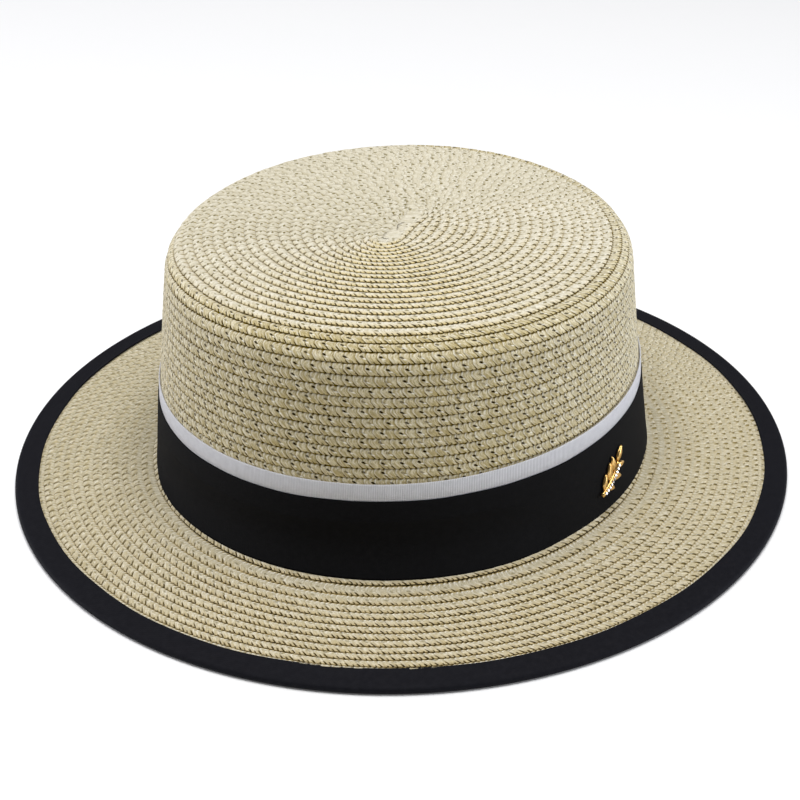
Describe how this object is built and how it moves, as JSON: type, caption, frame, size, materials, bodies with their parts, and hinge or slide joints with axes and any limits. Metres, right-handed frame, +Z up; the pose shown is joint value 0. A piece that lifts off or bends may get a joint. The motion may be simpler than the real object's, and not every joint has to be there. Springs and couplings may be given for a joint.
{
  "type": "boater hat",
  "caption": "Flat-topped boater hat of sewn straw braid with a fabric band, a narrow ribbon, a bound brim and a small leaf ornament.",
  "frame": {"origin": "on the surface that the brim's edge rests on, under the middle of the brim", "axes": "+Z up through the crown, the long way of the head along Y with the front towards -Y, the ornament on +X"},
  "size_m": [0.2862, 0.3008, 0.0934],
  "materials": {
    "straw": "matt sewn plait of cream paper straw",
    "binding_tape": "satin twill tape, black",
    "band_fabric": "matt knitted fabric, black",
    "ribbon_grosgrain": "ribbed grosgrain, white",
    "gold": "polished gold plate"
  },
  "bodies": {
    "root": {"crown": "straw", "brim": "straw", "brim_binding": "binding_tape", "hat_band": "band_fabric", "ribbon": "ribbon_grosgrain", "ornament": "gold"}
  },
  "joints": []
}
